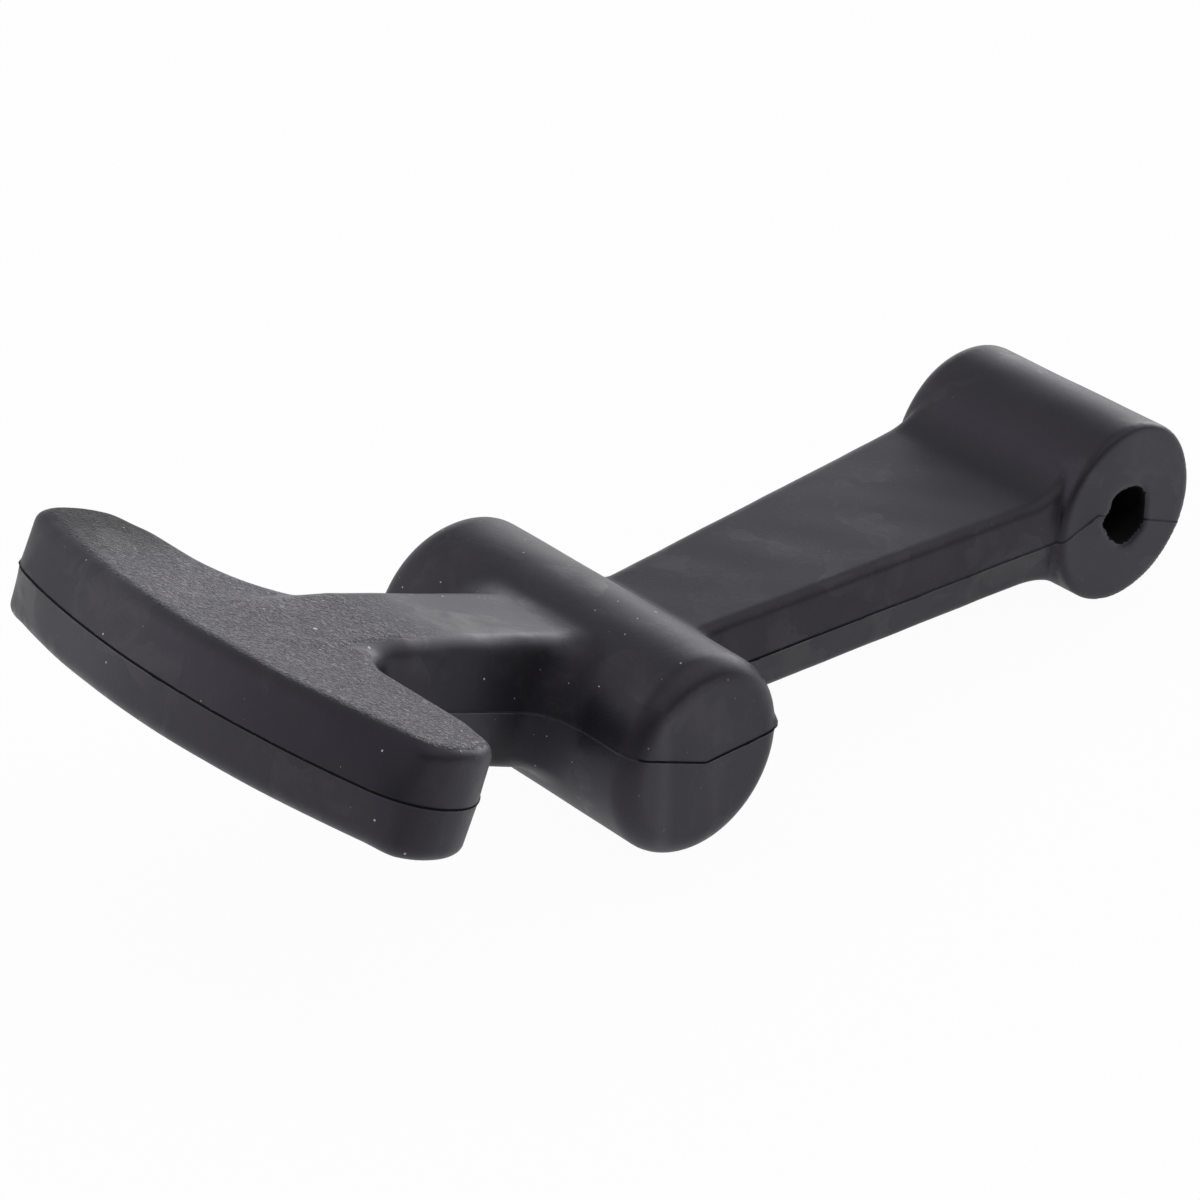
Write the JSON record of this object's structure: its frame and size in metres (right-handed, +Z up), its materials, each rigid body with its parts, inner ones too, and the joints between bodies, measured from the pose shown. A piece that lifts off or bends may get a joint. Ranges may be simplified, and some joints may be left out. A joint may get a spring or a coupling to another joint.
{
  "type": "rubber t draw latch",
  "caption": "One-piece moulded rubber draw latch: a pivot eye with a cross bore, a tapered strap, a catch barrel and an upturned T pull handle.",
  "frame": {"origin": "centre of the pivot bore", "axes": "+Y along the bore, -X along the strap towards the catch barrel and the T handle, +Z up, the way the handle turns up"},
  "size_m": [0.1274, 0.0564, 0.0363],
  "materials": {
    "rubber": "satin black moulded rubber, finely wrinkled, with mould marks and dust"
  },
  "bodies": {
    "root": {"latch": "rubber"}
  },
  "joints": []
}
